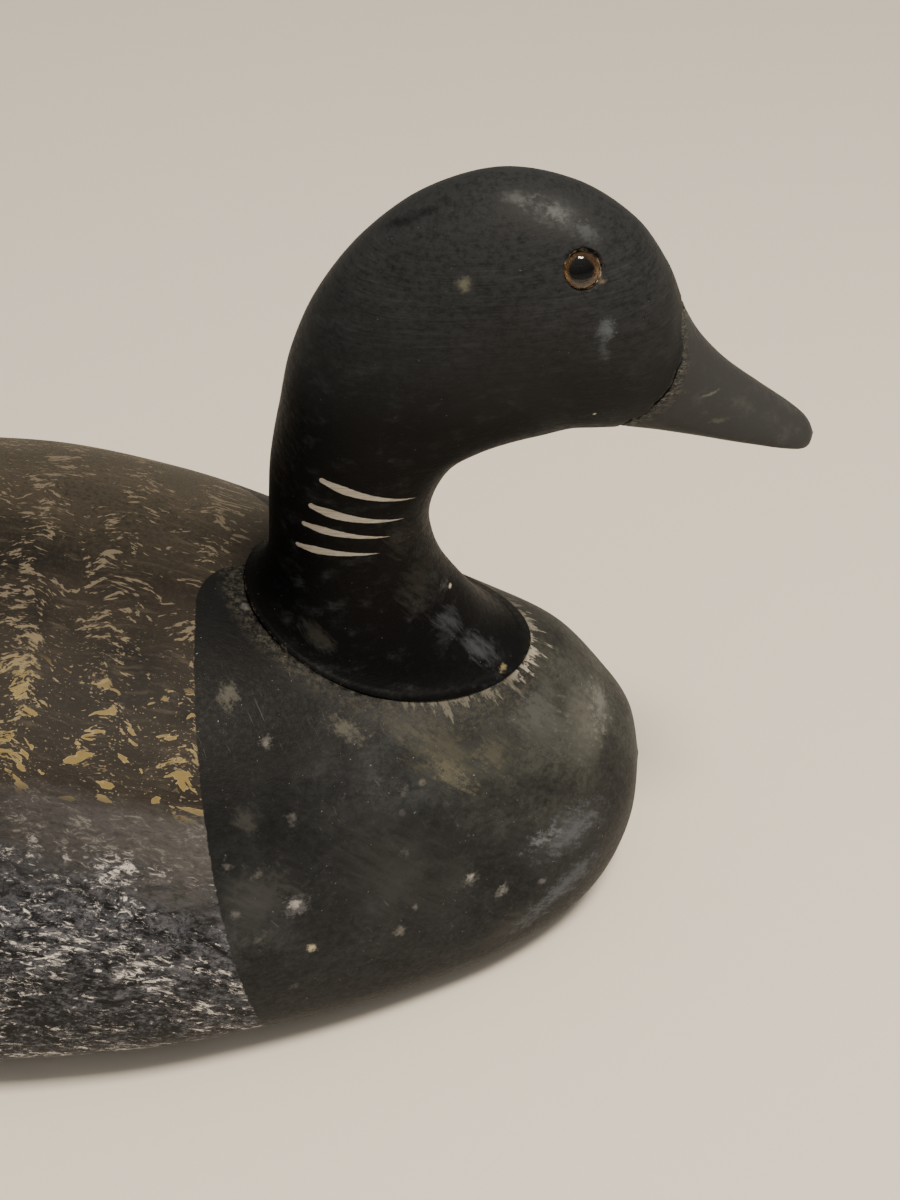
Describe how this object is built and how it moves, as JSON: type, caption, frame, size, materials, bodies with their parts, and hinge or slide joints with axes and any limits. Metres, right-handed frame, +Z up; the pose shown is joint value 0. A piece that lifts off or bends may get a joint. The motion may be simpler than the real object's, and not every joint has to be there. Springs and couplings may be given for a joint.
{
  "type": "waterfowl decoy",
  "caption": "Carved and painted wooden goose decoy with an upright neck, short bill, glass eyes and a flat underside that it stands on.",
  "frame": {"origin": "on the flat underside, below the middle of the decoy's length and width", "axes": "+X towards the bill, +Y towards the bird's left side, +Z up"},
  "size_m": [0.4574, 0.2036, 0.2312],
  "materials": {
    "painted_body": "worn matte oil paint on carved wood: black breast, flecked brown back, white scumble on grey-black flanks",
    "painted_head": "worn matte black oil paint on carved wood, with four thin off-white strokes on each side of the neck",
    "glass_eye": "polished clear glass over a brown iris and a black pupil"
  },
  "bodies": {
    "root": {"body": "painted_body", "head": "painted_head", "eye_left": "glass_eye", "eye_right": "glass_eye"}
  },
  "joints": []
}
